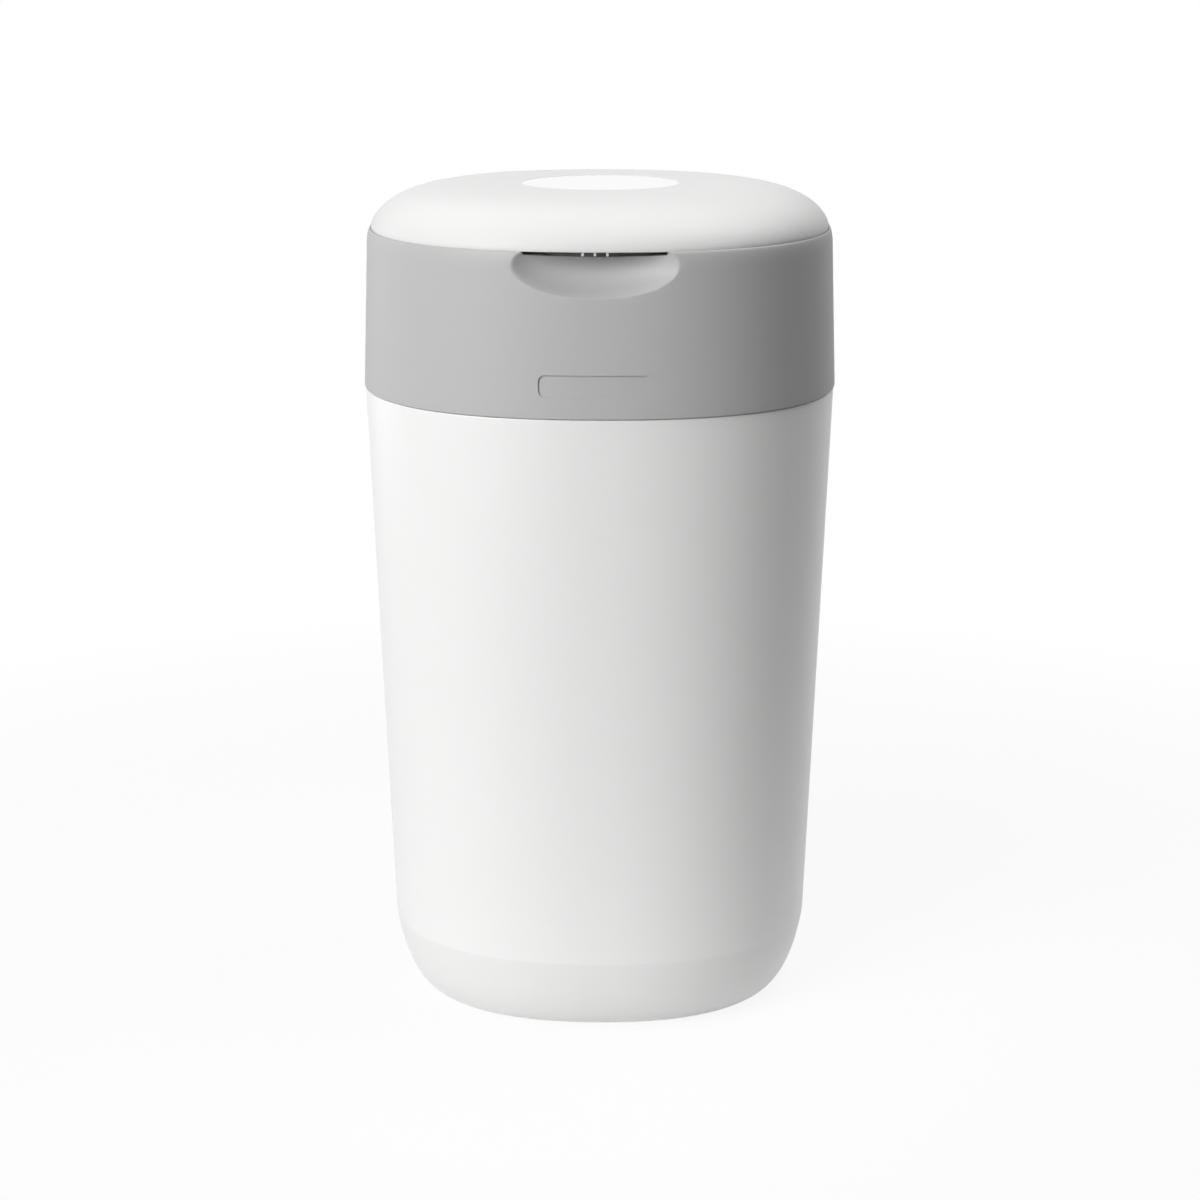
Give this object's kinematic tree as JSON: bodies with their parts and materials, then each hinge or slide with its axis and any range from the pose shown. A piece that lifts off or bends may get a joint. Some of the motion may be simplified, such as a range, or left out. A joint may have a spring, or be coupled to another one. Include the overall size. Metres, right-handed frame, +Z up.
{
  "type": "nappy bin",
  "caption": "Tapered upright nappy bin with a hinged head, domed lid, finger scoop and a twisting funnel that wraps each nappy in film from a cassette.",
  "frame": {"origin": "on the floor, at the middle of the tub's plan", "axes": "+Z up the bin, -Y towards the front with the finger scoop, +X to the right of someone who faces the front"},
  "size_m": [0.255, 0.241, 0.4449],
  "materials": {
    "white_plastic": "fine satin",
    "lid_plastic": "smooth satin gloss",
    "grey_plastic": "fine satin",
    "mechanism_plastic": "moulded satin",
    "cassette_plastic": "thin moulded",
    "film": "pleated thin film",
    "soft_rubber": "soft",
    "steel": "plain"
  },
  "bodies": {
    "tub": {"tub_shell": "white_plastic", "cassette_cradle": "mechanism_plastic", "gripper_ring": "soft_rubber", "head_hinge_pin": "steel"},
    "cassette": {"cassette_tray": "cassette_plastic", "film_pack": "film", "cassette_cover": "cassette_plastic"},
    "head": {"head_collar": "grey_plastic", "deck": "grey_plastic", "lid_hinge_pin": "steel", "deck_screw_1": "steel", "deck_screw_2": "steel", "deck_screw_3": "steel", "deck_screw_4": "steel", "click_spring": "white_plastic", "click_spring_screw": "steel", "cutter_housing": "mechanism_plastic", "cutter_blade": "steel", "cutter_screw_1": "steel", "cutter_screw_2": "steel"},
    "twist": {"twist_ring": "white_plastic", "drive_sleeve": "mechanism_plastic", "sleeve_screw_1": "steel", "sleeve_screw_2": "steel", "sleeve_screw_3": "steel", "sleeve_screw_4": "steel"},
    "lid": {"lid_shell": "lid_plastic", "lid_liner": "grey_plastic", "lid_seal": "soft_rubber"}
  },
  "joints": [
    {"name": "head_hinge", "type": "hinge", "parent": "tub", "child": "head", "pos_m": [0, 0.118, 0.3433], "axis": [-1, 0, 0], "range_deg": [0, 95]},
    {"name": "lid_hinge", "type": "hinge", "parent": "head", "child": "lid", "pos_m": [0, 0.1185, 0.4189], "axis": [-1, 0, 0], "range_deg": [0, 100]},
    {"name": "twist_spin", "type": "hinge", "parent": "head", "child": "twist", "pos_m": [0, 0, 0.392], "axis": [0, 0, 1], "continuous": true},
    {"name": "cassette_spin", "type": "hinge", "parent": "tub", "child": "cassette", "pos_m": [0, 0, 0.32], "axis": [0, 0, 1], "continuous": true}
  ],
  "couplings": [
    {"joint": "cassette_spin", "follows": "twist_spin", "ratio": 1}
  ]
}
